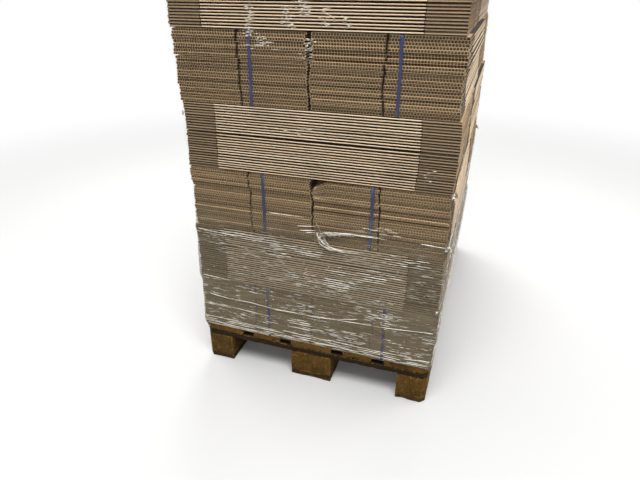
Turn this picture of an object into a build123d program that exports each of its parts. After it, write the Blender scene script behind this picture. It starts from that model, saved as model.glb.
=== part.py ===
"""A pallet load of flattened cartons: strapped bundles in six layers on a wooden four-way pallet,
inside a sleeve of stretch film. Millimetres, +Z up. The origin is on the floor under the middle
of the pallet, the pallet's long way is Y, and its front end faces -Y.
"""

import os

from build123d import *

# Carton: a square box, glued and pressed flat, so it lies as two plies of board
PANEL_WIDTH = 200.0  # each of its four walls, from crease to crease
PANEL_HEIGHT = 600.0  # between the creases of the upper and lower flaps
FLAP_LENGTH = PANEL_WIDTH / 2  # opposite flaps of the erected box meet in the middle
BOARD_THICKNESS = 3.8
SLOT_WIDTH = 8.0  # cut between one flap and the next
CARTON_WIDTH = 2 * PANEL_WIDTH
CARTON_LENGTH = PANEL_HEIGHT + 2 * FLAP_LENGTH
FOLDED_THICKNESS = 2 * BOARD_THICKNESS

# Pallet: as wide and long as a layer of cartons laid edge to edge, without the gaps between bundles
PALLET_WIDTH = max(2 * CARTON_WIDTH, CARTON_LENGTH)
PALLET_LENGTH = CARTON_LENGTH + CARTON_WIDTH
WIDE_BOARD = 145.0
NARROW_BOARD = 100.0
DECK_THICKNESS = 22.0
STRINGER_WIDTH = 145.0
STRINGER_THICKNESS = 22.0
BLOCK_HEIGHT = 78.0
SKID_THICKNESS = 22.0
CORNER_CUT = 15.0  # the pallet's four upright corners are cut off at 45 degrees
SKID_BEVEL = 10.0  # upper edges of the skid boards, bevelled between the blocks

# Bundle: flattened cartons held by one strap round their length
CARTONS_PER_BUNDLE = 25
CARTON_GAP = 0.3
STRAP_WIDTH = 9.0
STRAP_THICKNESS = 0.7
BUNDLE_GAP = 4.0  # between neighbouring bundles of one layer
CARTON_PITCH = FOLDED_THICKNESS + CARTON_GAP
BUNDLE_HEIGHT = CARTONS_PER_BUNDLE * CARTON_PITCH - CARTON_GAP
LAYER_PITCH = BUNDLE_HEIGHT + 2 * STRAP_THICKNESS

# Layers, from the pallet up: how far each slid sideways, and where each bundle's strap runs,
# from the middle of its bundle. The last offset in a row is that of the bundle lying crosswise.
LAYER_SHIFTS = (5.0, 5.0, 9.0, 8.0, -2.0, -6.0)
STRAP_OFFSETS = (
    (48.0, 40.0, 36.0),
    (44.0, 38.0, 42.0),
    (46.0, -22.0, 40.0),
    (38.0, 42.0, -30.0),
    (36.0, 42.0, 44.0),
    (40.0, 36.0, 34.0),
)

# Stretch film: a sleeve down over the deck's edge, with a lip turned in on top
FILM_THICKNESS = 0.5
FILM_CLEARANCE = 0.3
FILM_BELOW_DECK_TOP = 6.0
FILM_TOP_LIP = 60.0

# Heights and reaches that follow from the sizes above
BLOCK_BASE = SKID_THICKNESS
STRINGER_BASE = BLOCK_BASE + BLOCK_HEIGHT
DECK_BASE = STRINGER_BASE + STRINGER_THICKNESS
DECK_TOP = DECK_BASE + DECK_THICKNESS
LOAD_TOP = DECK_TOP + len(LAYER_SHIFTS) * LAYER_PITCH
LOAD_LENGTH = CARTON_LENGTH + BUNDLE_GAP + CARTON_WIDTH
LAYER_HALF_WIDTH = max(
    CARTON_WIDTH + BUNDLE_GAP / 2, CARTON_LENGTH / 2 + STRAP_THICKNESS
)
COLUMN_WIDTHS = (NARROW_BOARD, WIDE_BOARD, NARROW_BOARD)
DECK_BOARD_WIDTHS = (WIDE_BOARD, NARROW_BOARD, WIDE_BOARD, NARROW_BOARD, WIDE_BOARD)
ROW_NAMES = ("front", "middle", "back")
COLUMN_NAMES = ("left", "middle", "right")


def spread(widths, overall):
    """Middles of strips of the given widths, evenly spaced with the outer ones flush."""
    gap = (overall - sum(widths)) / (len(widths) - 1)
    middles = []
    edge = -overall / 2
    for width in widths:
        middles.append(edge + width / 2)
        edge += width + gap
    return middles


COLUMNS = list(zip(COLUMN_NAMES, spread(COLUMN_WIDTHS, PALLET_WIDTH), COLUMN_WIDTHS))
ROWS = list(zip(ROW_NAMES, spread([STRINGER_WIDTH] * len(ROW_NAMES), PALLET_LENGTH)))


def pallet_corner_cuts():
    """Upright wedges outside the four cut corners of the pallet."""
    reach = CORNER_CUT * 2**0.5
    wedge = Pos(0, 0, DECK_TOP / 2) * Rot(0, 0, 45) * Box(reach, reach, DECK_TOP)
    return [
        Pos(x * PALLET_WIDTH / 2, y * PALLET_LENGTH / 2) * wedge
        for x in (-1, 1)
        for y in (-1, 1)
    ]


def timber(x, y, base, size_x, size_y, height):
    """A sawn board or block, with the pallet's corner cuts where it reaches a corner."""
    piece = Pos(x, y, base + height / 2) * Box(size_x, size_y, height)
    at_side = abs(x) + size_x / 2 > PALLET_WIDTH / 2 - CORNER_CUT
    at_end = abs(y) + size_y / 2 > PALLET_LENGTH / 2 - CORNER_CUT
    if at_side and at_end:
        piece = piece - pallet_corner_cuts()
    return piece


def bevelled_skid(x, width):
    """A bottom board along the pallet, bevelled between the blocks that stand on it."""
    skid = timber(x, 0, 0, width, PALLET_LENGTH, SKID_THICKNESS)
    reach = SKID_BEVEL * 2**0.5
    for (_, before), (_, after) in zip(ROWS, ROWS[1:]):
        length = after - before - STRINGER_WIDTH
        for side in (-1, 1):
            edge = Pos(x + side * width / 2, (before + after) / 2, SKID_THICKNESS)
            skid = skid - edge * Rot(0, 45, 0) * Box(reach, length, reach)
    return skid


def pallet():
    """Every board and block of the pallet, by name."""
    pieces = {}
    for number, (x, width) in enumerate(
        zip(spread(DECK_BOARD_WIDTHS, PALLET_WIDTH), DECK_BOARD_WIDTHS), 1
    ):
        pieces[f"deck_board_{number}"] = timber(
            x, 0, DECK_BASE, width, PALLET_LENGTH, DECK_THICKNESS
        )
    for row, y in ROWS:
        pieces[f"stringer_board_{row}"] = timber(
            0, y, STRINGER_BASE, PALLET_WIDTH, STRINGER_WIDTH, STRINGER_THICKNESS
        )
    for row, y in ROWS:
        for column, x, width in COLUMNS:
            pieces[f"block_{row}_{column}"] = timber(
                x, y, BLOCK_BASE, width, STRINGER_WIDTH, BLOCK_HEIGHT
            )
    for column, x, width in COLUMNS:
        pieces[f"skid_board_{column}"] = bevelled_skid(x, width)
    return pieces


def flat_carton(slotted_ends):
    """A flattened carton lying along Y, slotted between the flaps of the ends given as +1 or -1."""
    outline = Rectangle(CARTON_WIDTH, CARTON_LENGTH)
    for end in slotted_ends:
        middle_of_flap = end * (PANEL_HEIGHT + FLAP_LENGTH) / 2
        outline -= Pos(0, middle_of_flap) * Rectangle(SLOT_WIDTH, FLAP_LENGTH)
    return extrude(outline, FOLDED_THICKNESS)


def bundle(place, slotted_ends):
    """A stack of flattened cartons, each one clear of the next, on the strap under it."""
    carton = flat_carton(slotted_ends)
    stack = [
        place * Pos(0, 0, STRAP_THICKNESS + number * CARTON_PITCH) * carton
        for number in range(CARTONS_PER_BUNDLE)
    ]
    return Compound(stack)


def strap(place, offset):
    """A closed band round the length of a bundle, flat against the cartons on all four sides."""
    middle = place * Pos(offset, 0, LAYER_PITCH / 2)
    band = Box(
        STRAP_WIDTH, CARTON_LENGTH + 2 * STRAP_THICKNESS, BUNDLE_HEIGHT + 2 * STRAP_THICKNESS
    )
    inside = Box(STRAP_WIDTH, CARTON_LENGTH, BUNDLE_HEIGHT)
    return middle * (band - inside)


def layer_places(level):
    """Where a layer's three bundles lie: name, place and slotted ends.

    Odd layers, counted from 1, have the two lengthwise bundles at the front. In even layers
    they are at the back, which locks the layers together like bricks.
    """
    facing = -1 if level % 2 == 0 else 1
    base = DECK_TOP + level * LAYER_PITCH
    shift = LAYER_SHIFTS[level]
    pair_x = (CARTON_WIDTH + BUNDLE_GAP) / 2
    pair_y = facing * (LOAD_LENGTH - CARTON_LENGTH) / 2
    cross_y = -facing * (LOAD_LENGTH - CARTON_WIDTH) / 2
    pair_end = "front" if facing < 0 else "back"
    cross_end = "back" if facing < 0 else "front"
    crosswise = Pos(shift, cross_y, base) * Rot(0, 0, -90)
    cross_slots = (1,) if facing < 0 else (-1, 1)
    return [
        (f"{pair_end}_left", Pos(shift - pair_x, pair_y, base), (facing,)),
        (f"{pair_end}_right", Pos(shift + pair_x, pair_y, base), (facing,)),
        (f"{cross_end}_cross", crosswise, cross_slots),
    ]


def load():
    """Every strapped bundle, as one node for its cartons and one for its strap."""
    pieces = {}
    for level in range(len(LAYER_SHIFTS)):
        for (name, place, slots), offset in zip(layer_places(level), STRAP_OFFSETS[level]):
            pieces[f"layer_{level + 1}_{name}_bundle"] = bundle(place, slots)
            pieces[f"layer_{level + 1}_{name}_strap"] = strap(place, offset)
    return pieces


def stretch_film():
    """The sleeve round the load and the deck's edge, with its lip turned in over the top."""
    widest = max(abs(shift) for shift in LAYER_SHIFTS) + LAYER_HALF_WIDTH
    half_width = max(widest, PALLET_WIDTH / 2) + FILM_CLEARANCE
    longest = LOAD_LENGTH / 2 + STRAP_THICKNESS
    half_length = max(longest, PALLET_LENGTH / 2) + FILM_CLEARANCE
    bottom = DECK_TOP - FILM_BELOW_DECK_TOP
    inner_top = LOAD_TOP + FILM_CLEARANCE
    height = inner_top - bottom
    around = Box(
        2 * (half_width + FILM_THICKNESS),
        2 * (half_length + FILM_THICKNESS),
        height + FILM_THICKNESS,
    )
    inside = Box(2 * half_width, 2 * half_length, height)
    mouth = Box(2 * (half_width - FILM_TOP_LIP), 2 * (half_length - FILM_TOP_LIP), height)
    sleeve = Pos(0, 0, bottom + (height + FILM_THICKNESS) / 2) * around
    sleeve -= Pos(0, 0, bottom + height / 2) * inside
    return sleeve - Pos(0, 0, inner_top) * mouth


def main():
    os.makedirs("parts", exist_ok=True)
    pieces = {**pallet(), **load(), "stretch_film": stretch_film()}
    for name, shape in pieces.items():
        export_step(shape, f"parts/{name}.step")


main()
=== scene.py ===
"""The looks of a wrapped pallet load of flattened cartons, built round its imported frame, in metres."""
import math

import bmesh
import bpy
import numpy as np
from mathutils import Euler, Matrix, Vector, noise


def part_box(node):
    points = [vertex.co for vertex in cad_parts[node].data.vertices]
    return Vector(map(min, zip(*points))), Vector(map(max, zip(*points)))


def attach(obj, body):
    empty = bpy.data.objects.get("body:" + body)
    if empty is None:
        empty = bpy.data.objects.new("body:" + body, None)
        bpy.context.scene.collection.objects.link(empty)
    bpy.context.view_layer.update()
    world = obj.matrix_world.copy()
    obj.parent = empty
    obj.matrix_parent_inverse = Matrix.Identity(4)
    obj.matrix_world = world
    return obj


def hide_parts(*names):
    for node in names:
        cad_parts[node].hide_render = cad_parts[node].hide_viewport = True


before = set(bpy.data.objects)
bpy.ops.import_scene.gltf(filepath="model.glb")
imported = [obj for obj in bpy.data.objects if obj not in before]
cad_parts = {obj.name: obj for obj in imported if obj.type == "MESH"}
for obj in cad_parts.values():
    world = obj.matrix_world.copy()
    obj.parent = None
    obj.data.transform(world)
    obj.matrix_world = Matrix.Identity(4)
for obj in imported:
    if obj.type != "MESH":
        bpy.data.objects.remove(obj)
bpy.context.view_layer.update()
BODY = "root"
MM = 0.001
ANY_PHASE = (0.0, 6.28)  # radians

# The flattened carton, in millimetres: two plies of fluted board, folded at both long sides
CARTON_HALF = 200.0  # half its width
PANEL_HALF = 300.0  # half the length between its flaps
CARTON_END = PANEL_HALF + 100.0  # half its length, flaps and all
FLAP_SIDE = CARTON_HALF - 2.0  # how far from its middle a flap reaches sideways
SLOT_WIDTH = 5.5
CREASE = 1.5  # width of the crease that parts a panel from its flaps
PANEL_END = PANEL_HALF - CREASE / 2
FLAP_START = PANEL_HALF + CREASE / 2
BOARD = 3.8
FOLDED = 2 * BOARD
LINER = 0.45  # thickness of a liner, on either side of the waved middle ply
CORE_RECESS = 0.8
FLUTE_PITCH = 7.9
FLUTE_EDGE = 0.6
FLUTE_DEPTH = 2.2
FLUTE_CREST = 0.4  # height of the wave's cut crest, along the outer liner
FLUTE_SPREAD = 0.15 * FLUTE_PITCH  # half the width of a wave's narrow side at its crest
FLUTE_WIDE = FLUTE_SPREAD + FLUTE_EDGE
FLUTE_BEND = 0.4  # how far behind the cut edge the narrow side of each wave closes
# How the board thins towards a fold: distance from the fold, half the carton's thickness there
FOLD_PROFILE = ((34.0, 3.8), (17.0, 2.6), (7.0, 1.85), (1.8, 1.75), (0.5, 1.35), (0.0, 0.6))
FOLD_NOSE = 2  # how many steps of that profile, from the fold in, are painted pale as catching the light
# A flap's outer edge, where the knife pressed its two plies together: distance in, and height
FLAP_EDGE = ((2.8, 3.8), (1.0, 2.9), (0.0, 1.7), (0.0, -1.7), (1.0, -2.9), (2.8, -3.8))
FLAP_EDGE_DEPTH = FLAP_EDGE[0][0]

# The load's stack
LAYERS = 6
CARTONS = 25  # in each bundle
LOAD_REACH = 411.2  # no carton slides further out than this, from the load's middle


class Value:
    """A number that varies over a surface, as a shader socket that takes part in sums."""

    def __init__(self, paint, socket):
        self.paint = paint
        self.socket = socket

    def math(self, operation, first, second, clamp=False):
        settings = {"operation": operation, "use_clamp": clamp}
        return self.paint.node("Math", settings, (first, second))

    def __add__(self, other):
        return self.math("ADD", self, other)

    def __mul__(self, other):
        return self.math("MULTIPLY", self, other)

    def __sub__(self, other):
        return self.math("SUBTRACT", self, other)

    def __rsub__(self, other):
        return self.math("SUBTRACT", other, self)

    def clamped(self):
        return self.math("ADD", self, 0.0, clamp=True)

    def between(self, low, high):
        """0 below low, 1 above high and smooth in between."""
        inputs = {"Value": self, "From Min": low, "From Max": high}
        return self.paint.node("MapRange", {"interpolation_type": "SMOOTHSTEP"}, inputs)

    def output(self, name):
        """Another output of the same node."""
        return Value(self.paint, self.socket.node.outputs[name])


class Paint:
    """One material, or the world's, wired from its own nodes."""

    def __init__(self, name, world=False):
        self.output = "OutputWorld" if world else "OutputMaterial"
        self.material = (bpy.data.worlds if world else bpy.data.materials).new(name)
        self.material.use_nodes = True
        self.tree = self.material.node_tree
        self.tree.nodes.clear()

    def node(self, kind, settings=None, inputs=None, output=0):
        """Adds a shader node: its settings first, then its inputs by name or in order."""
        made = self.tree.nodes.new(f"ShaderNode{kind}")
        for key, value in (settings or {}).items():
            setattr(made, key, value)
        pairs = inputs.items() if isinstance(inputs, dict) else enumerate(inputs or ())
        for key, value in pairs:
            if isinstance(value, Value):
                self.tree.links.new(value.socket, made.inputs[key])
            else:
                made.inputs[key].default_value = value
        return None if output is None else Value(self, made.outputs[output])

    def attribute(self, name, output="Fac"):
        """A value that the piece's mesh carries at its points."""
        return self.node("Attribute", {"attribute_name": name}, output=output)

    def place(self, stretch=(1, 1, 1), turn=(0, 0, 0), where=None):
        """Where a point lies on the load, in metres, stretched for a texture."""
        where = where or self.node("TexCoord", output="Object")
        inputs = {"Vector": where, "Scale": stretch, "Rotation": turn}
        return self.node("Mapping", {}, inputs)

    def noise(self, scale, detail, stretch=(1, 1, 1), turn=(0, 0, 0), where=None):
        inputs = {"Vector": self.place(stretch, turn, where), "Scale": scale, "Detail": detail}
        return self.node("TexNoise", {}, inputs)

    def mix(self, factor, first, second):
        """A colour from first, where factor is 0, to second, where it is 1."""
        inputs = {0: factor, 6: first, 7: second}
        return self.node("Mix", {"data_type": "RGBA"}, inputs, output=2)

    def bump(self, height, distance, strength):
        inputs = {"Height": height, "Distance": distance, "Strength": strength}
        return self.node("Bump", {}, inputs)

    def surface(self, **sockets):
        """A Principled surface; socket names are written with underscores."""
        inputs = {name.replace("_", " "): value for name, value in sockets.items()}
        return self.node("BsdfPrincipled", {}, inputs)

    def finish(self, shader):
        """Wires the material's output, and gives the material."""
        self.node(self.output, {}, {"Surface": shader}, output=None)
        return self.material

    def finish_see_through(self, cover, surface):
        """The same, with what lies behind showing except where cover is 1."""
        clear = self.node("BsdfTransparent")
        return self.finish(self.node("MixShader", {}, (cover, clear, surface)))


def colour(red, green, blue):
    """A colour given in screen values from 0 to 255, as the linear light that a shader takes."""
    screen = np.array([red, green, blue]) / 255.0
    low = screen / 12.92
    high = ((screen + 0.055) / 1.055) ** 2.4
    return (*[float(v) for v in np.where(screen <= 0.04045, low, high)], 1.0)


def smooth(value, low, high):
    """0 below low, 1 above high and smooth in between; low may be the larger."""
    share = np.clip((np.asarray(value, float) - low) / (high - low), 0, 1)
    return share * share * (3 - 2 * share)


def smoothed(values, reach):
    """A run of values, each averaged with its neighbours, as many on either side as reach says."""
    count = 2 * reach + 1
    return np.convolve(np.pad(values, reach, "edge"), np.ones(count) / count, "valid")


def linked(name, data):
    """A new object in the scene."""
    made = bpy.data.objects.new(name, data)
    bpy.context.scene.collection.objects.link(made)
    return made


def mark(mesh, title, values):
    """Gives each point of a mesh a value, or a vector, that its material can read."""
    values = np.asarray(values, np.float32)
    kind, field = ("FLOAT", "value") if values.ndim == 1 else ("FLOAT_VECTOR", "vector")
    layer = mesh.attributes.new(title, kind, "POINT")
    layer.data.foreach_set(field, values.ravel())


BOX_CORNERS = np.array([(x, y, z) for z in (0, 1) for y in (0, 1) for x in (0, 1)], float)
BOX_FACES = np.array(
    [(0, 2, 3, 1), (4, 5, 7, 6), (0, 1, 5, 4), (2, 6, 7, 3), (0, 4, 6, 2), (1, 3, 7, 5)]
)
BOX_ENDS = slice(2, 4)  # those of the faces above that close the box along its second way
BOX_SIDES = slice(4, 6)  # and along its first


def quads(number, closed=False):
    """Four-cornered faces between the neighbours in a grid of point numbers."""
    if closed:
        number = np.hstack([number, number[:, :1]])
    sides = [number[:-1, :-1], number[:-1, 1:], number[1:, 1:], number[1:, :-1]]
    return np.stack(sides, -1).reshape(-1, 4)


class Build:
    """Gathers the points and faces of one piece until they become its mesh."""

    def __init__(self, finishes):
        self.finishes = finishes
        self.points, self.shades = [], []
        self.corners, self.sizes, self.slots = [], [], []
        self.first = self.count = 0
        self.shade = 0.5

    def slot(self, finish):
        return list(self.finishes).index(finish)

    def add(self, points, faces, finish):
        """Adds points, and faces over them, numbered within them, that have as many corners each."""
        points = np.asarray(points, float).reshape(-1, 3)
        self.points.append(points)
        self.shades.append(np.full(len(points), self.shade))
        self.first = self.count
        self.count += len(points)
        self.cover(faces, finish)

    def cover(self, faces, finish):
        """Adds more faces over the points that were added last."""
        faces = np.asarray(faces, int)
        self.corners.append((faces + self.first).ravel())
        self.sizes.append(np.full(len(faces), faces.shape[1]))
        self.slots.append(np.full(len(faces), self.slot(finish)))

    def box(self, low, high, finish, move, ends=None, sides=None):
        """A box between two corners; its faces along and across may have finishes of their own."""
        corners = BOX_CORNERS * (np.asarray(high) - low) + low
        self.add(move(corners), BOX_FACES, finish)
        for faces, other in ((BOX_ENDS, ends), (BOX_SIDES, sides)):
            if other:
                self.slots[-1][faces] = self.slot(other)

    def grid(self, rows, finish, closed=False):
        """Faces over a grid of points, rows by columns, whose rows may close on themselves."""
        rows = np.asarray(rows, float)
        number = np.arange(rows.shape[0] * rows.shape[1]).reshape(rows.shape[:2])
        self.add(rows, quads(number, closed), finish)

    def object(self, name, sharp=0.6, **marks):
        """The finished piece, smooth except at edges sharper than this angle."""
        sizes = np.concatenate(self.sizes)
        corners = np.concatenate(self.corners)
        points = np.concatenate(self.points)
        starts = np.concatenate([[0], np.cumsum(sizes)[:-1]])
        mesh = bpy.data.meshes.new(name)
        mesh.vertices.add(len(points))
        mesh.vertices.foreach_set("co", points.astype(np.float32).ravel())
        mesh.loops.add(len(corners))
        mesh.polygons.add(len(sizes))
        mesh.polygons.foreach_set("loop_start", starts.astype(np.int32))
        mesh.polygons.foreach_set("vertices", corners.astype(np.int32))
        mesh.polygons.foreach_set("material_index", np.concatenate(self.slots).astype(np.int32))
        for finish in self.finishes.values():
            mesh.materials.append(finish)
        mesh.update(calc_edges=True)
        mesh.shade_smooth()
        mesh.set_sharp_from_angle(angle=sharp)
        for title, values in {**marks, "shade": np.concatenate(self.shades)}.items():
            mark(mesh, title, np.ravel(values))
        return linked(name, mesh)


def node_box(node):
    """A node's lowest and highest corners, in millimetres."""
    low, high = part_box(node)
    return np.array(low) / MM, np.array(high) / MM


def named(ending):
    return sorted(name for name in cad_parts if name.endswith(ending))


def stand_in_for(piece, slot, *nodes):
    """Ties a finished piece to the frame, in place of the plain nodes it details."""
    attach(piece, BODY)
    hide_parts(*nodes)
    return piece


# Finishes of the cartons

# Each finish's material, darkest and lightest colours, how much the cartons differ in shade, and
# how fine the paper's mottling is
KRAFTS = {
    "face": ("kraft_face", (150, 119, 82), (192, 156, 114), 0.8, 45),
    # fold: the noses' paler kraft, partly crushed paper at the fold and partly a painted highlight
    "fold": ("fold_edge_partly_highlit", (216, 182, 144), (255, 234, 203), 0.6, 45),
    "cut": ("liner_edge", (146, 120, 87), (236, 208, 163), 0.4, 160),
    "pressed": ("pressed_edge", (122, 99, 70), (206, 175, 134), 0.5, 120),
    # inner: the inner liners' cut ends, painted dark as shade
    "inner": ("inner_liner_painted_shade", (52, 40, 27), (86, 68, 47), 0.4, 160),
    "flute": ("flute_edge", (124, 101, 71), (213, 183, 142), 0.4, 160),
    # core: near black, painted shade in the flutes' hollows and on the panels' closed ends
    "core": ("flute_hollow_painted_shade", (12, 8, 4), (26, 17, 10), 0.4, 200),
    # crevice: near-black paper, painted shade in the folds' roots, the slots and under the flaps' edges
    "crevice": ("fold_crevice_painted_shade", (10, 6, 4), (24, 15, 10), 0.4, 45),
}


def kraft_paint(name, dark, light, spread, fineness):
    """Brown paper, mottled with pulp and handling."""
    paint = Paint(name)
    mottle = paint.noise(fineness, 5, (1, 1, 2.5))
    grime = paint.noise(7, 4).between(0.52, 0.78)
    # The shade attribute is each carton's random tone, plus painted light where lengthwise cartons stand
    # out or lie back
    shade = (paint.attribute("shade") * spread + mottle * 0.75 + (0.12 - spread / 2)).clamped()
    tint = paint.mix(shade, colour(*dark), colour(*light))
    tint = paint.mix(grime * 0.35, tint, colour(92, 74, 52))
    fibre = paint.noise(700, 3, (1, 1, 4))
    relief = paint.bump(fibre, 0.0002, 0.6)
    return paint.finish(paint.surface(Base_Color=tint, Roughness=0.85, Normal=relief))


# Bundles of flattened cartons

PROUD_SHARE = 0.12  # of the cartons that lie lengthwise, those that stand out at their open end
SET_BACK = 2.2  # how far the others lie back from there
SLIDE_INWARD = 6.0  # how much further a crosswise carton may slide towards the load's middle
CARTON_TURN = 0.0008  # radians
CARTON_WARP = 0.25  # height of the long wave that a flattened carton lies in
WARP_LENGTH = 170.0
PARTING = (13, 17)  # a bundle's widest gap lies over a carton from the first to before the second
PARTING_SHARE = 0.38  # of the room that a bundle has between its cartons
# Where the upper cartons of a bundle slid out together: the lowest of them, and how far they slid
SLIPS = {"layer_5_front_right_bundle": (16, 7.0), "layer_3_back_cross_bundle": (9, -4.0)}
# The bundle whose inner upper corner at the front was pressed in, and its lowest bent carton
DENTED = "layer_3_front_right_bundle"
DENT_FIRST = 18
DENT_SQUEEZE = 4.0  # how much lower each bent carton lies than it would
DENT_REACH = 52.0 - CARTON_HALF  # how far across from the carton's middle the dent ends
DENT_DEPTH = 75.0 - CARTON_END  # and how far along
DENT_PUSH = (3.0, 5.0)  # how far its corner went across and along
BENT_STRIP = 8


def wander(draw, reach, step):
    """A smooth random drift from carton to carton, with a small slip of each."""
    drift = smoothed(np.cumsum(draw.normal(0, 1, CARTONS)), 3)
    drift -= drift.mean()
    return drift * reach / max(np.abs(drift).max(), 1e-6) + draw.normal(0, step, CARTONS)


def slips(draw, spread, low, high):
    """A small random slip of each carton, within limits."""
    return np.clip(draw.normal(0, spread, CARTONS), low, high)


def laid(crosswise, middle, across, along, height):
    """Points on the load, from how far they lie across and along a bundle from its middle."""
    if crosswise:
        return np.stack([middle[0] + along, middle[1] - across, height], -1)
    return np.stack([middle[0] + across, middle[1] + along, height], -1)


class Bundle:
    """One strapped bundle: where it lies, which of its sides show, and how its cartons slid."""

    def __init__(self, node, number):
        self.node = node
        self.bent = node == DENTED
        self.low, self.high = node_box(node)
        self.middle = (self.low + self.high) / 2
        self.crosswise = self.high[0] - self.low[0] > self.high[1] - self.low[1]
        self.draw = np.random.default_rng(100 + number)
        toward_back = 1 if self.middle[1] > 0 else -1
        if self.crosswise:
            self.open_ends = (-1, 1)
            self.fold_side = -toward_back
        else:
            self.open_ends = (toward_back,)
            self.fold_side = 1 if self.middle[0] > 0 else -1
        self.slide_cartons()
        self.stack_cartons()

    def slide_cartons(self):
        """How far each carton slid along and across its bundle, and turned."""
        draw, side = self.draw, self.fold_side
        self.shade = draw.uniform(0.0, 1.0, CARTONS)
        if self.crosswise:
            room = LOAD_REACH - np.abs(self.middle[0]) - CARTON_END
            least = -room - SLIDE_INWARD * (self.middle[0] > 0)
            most = room + SLIDE_INWARD * (self.middle[0] < 0)
            self.along = np.clip(wander(draw, 3.0, 0.9), least, most)
            self.across = slips(draw, 0.6, -1.2, 1.2)
        else:
            proud = draw.random(CARTONS) < PROUD_SHARE
            depth = np.where(proud, 0.0, SET_BACK + slips(draw, 0.9, -1.5, 2.4))
            # Painted light: proud cartons lighter, cartons set further back painted darker as shade
            self.shade = np.clip(self.shade + 0.35 * proud - 0.06 * depth + 0.15, 0, 1)
            self.along = -depth * self.open_ends[0]
            level = np.random.default_rng(int(self.low[2]))
            self.across = wander(level, 4.0, 0.3) + slips(draw, 1.1, -1.8, 1.8)
            outer = side * (self.middle[0] + side * CARTON_HALF + self.across)
            self.across -= side * np.maximum(outer - LOAD_REACH, 0)
        self.turn = draw.normal(0, CARTON_TURN, CARTONS)
        first, slip = SLIPS.get(self.node, (CARTONS, 0.0))
        self.across[first:] += slip

    def stack_cartons(self):
        """The height of each carton's middle: they lie close, with one wider parting."""
        slack = self.high[2] - self.low[2] - CARTONS * FOLDED
        gaps = (1 - PARTING_SHARE) * self.draw.dirichlet(np.full(CARTONS - 1, 0.9))
        gaps[self.draw.integers(*PARTING)] += PARTING_SHARE
        self.base = self.low[2] + BOARD + np.arange(CARTONS) * FOLDED
        self.base[1:] += np.cumsum(slack * gaps)

    def mover(self, carton):
        """Puts points of one carton, given across, along and up from its middle, on the load."""
        turn = self.turn[carton]
        slid_across, slid_along = self.across[carton], self.along[carton]
        wave = self.draw.uniform(*ANY_PHASE)

        def move(points):
            across, along, up = np.asarray(points, float).reshape(-1, 3).T
            u = across + slid_across - along * turn
            v = along + slid_along + across * turn
            w = self.base[carton] + up + CARTON_WARP * np.sin(along / WARP_LENGTH + wave)
            if self.bent and carton >= DENT_FIRST:
                dent = smooth(across, DENT_REACH, -CARTON_HALF) * smooth(along, DENT_DEPTH, -CARTON_END)
                w -= dent * DENT_SQUEEZE * (carton - DENT_FIRST + 1 + up / FOLDED)
                u -= dent * DENT_PUSH[0]
                v += dent * DENT_PUSH[1]
            return laid(self.crosswise, self.middle, u, v, w) * MM

        return move

    def strips(self, near, far):
        """A flap's width in one piece, or in strips where it has to bend."""
        edges = [near, far]
        if self.bent and near < DENT_REACH:
            edges = [near, *np.arange(near + BENT_STRIP, DENT_REACH, BENT_STRIP), far]
        return zip(edges, edges[1:])

    def reach(self):
        """For each carton: its height, then its left, right, front and back edges."""
        x, y, z = laid(self.crosswise, self.middle, self.across, self.along, self.base).T
        x_half, y_half = (CARTON_END, CARTON_HALF) if self.crosswise else (CARTON_HALF, CARTON_END)
        return np.stack([z, x - x_half, x + x_half, y - y_half, y + y_half], -1)


PANEL_BEND = 120.0  # where, on either side of its middle, a panel may waver
PINCH_LENGTH = 5.0  # next to its creases a panel is pinched over this length
PINCH_IN = 1.6
PINCH_DOWN = 0.12  # share of its thickness that it loses there
PANEL_EDGE = 12.0  # the band along its folds that is pinched and wavers


def fold_outline(detailed_side):
    """Points round the section of a folded carton, and each stretch's finish."""
    fold = [(CARTON_HALF - inset, thick) for inset, thick in FOLD_PROFILE]
    blunt = [(CARTON_HALF - 1.0, BOARD)]
    outline, finishes = [], []
    for side in (1, -1):
        points = fold if side == detailed_side else blunt
        over = [(side * u, w * side) for u, w in points]
        under = [(side * u, -w * side) for u, w in reversed(points)]
        outline += over + under
        # The fold's nose takes the paler fold finish, partly a painted highlight
        nose = FOLD_NOSE if side == detailed_side else 0
        # the root behind the nose takes the near-black crevice finish, painted shade
        root = ["crevice"] * (len(points) - 1 - nose)
        finishes += root + ["fold"] * (2 * nose + 1) + root + ["face"]
    return np.array(outline), np.array(finishes)


def add_panels(build, bundle, move, on_top):
    """The folded middle of a carton, between its flap creases."""
    outline, finishes = fold_outline(bundle.fold_side)
    # The top carton takes no painted shade in its folds' roots
    if on_top:
        finishes[finishes == "crevice"] = "face"
    half = np.array([PANEL_BEND, PANEL_END - PINCH_LENGTH, PANEL_END])
    stations = np.concatenate([-half[::-1], half])[:, None]
    across, up = outline.T
    pinch = np.abs(stations) == PANEL_END
    edge = np.abs(across) > CARTON_HALF - PANEL_EDGE
    rings = np.zeros((len(stations), len(outline), 3))
    rings[..., 0] = across - np.sign(across) * edge * pinch * PINCH_IN
    rings[..., 0] += bundle.draw.normal(0, 0.3, len(stations))[:, None] * edge
    rings[..., 1] = stations
    rings[..., 2] = up * (1 - PINCH_DOWN * pinch)
    number = np.arange(len(stations) * len(outline)).reshape(len(stations), len(outline))
    # The panel's closed ends take the near-black core finish, painted shade
    build.add(move(rings), np.stack([number[0, ::-1], number[-1]]), "core")
    faces = quads(number, closed=True).reshape(len(stations) - 1, len(outline), 4)
    for finish in np.unique(finishes):
        build.cover(faces[:, finishes == finish].reshape(-1, 4), finish)


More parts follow.
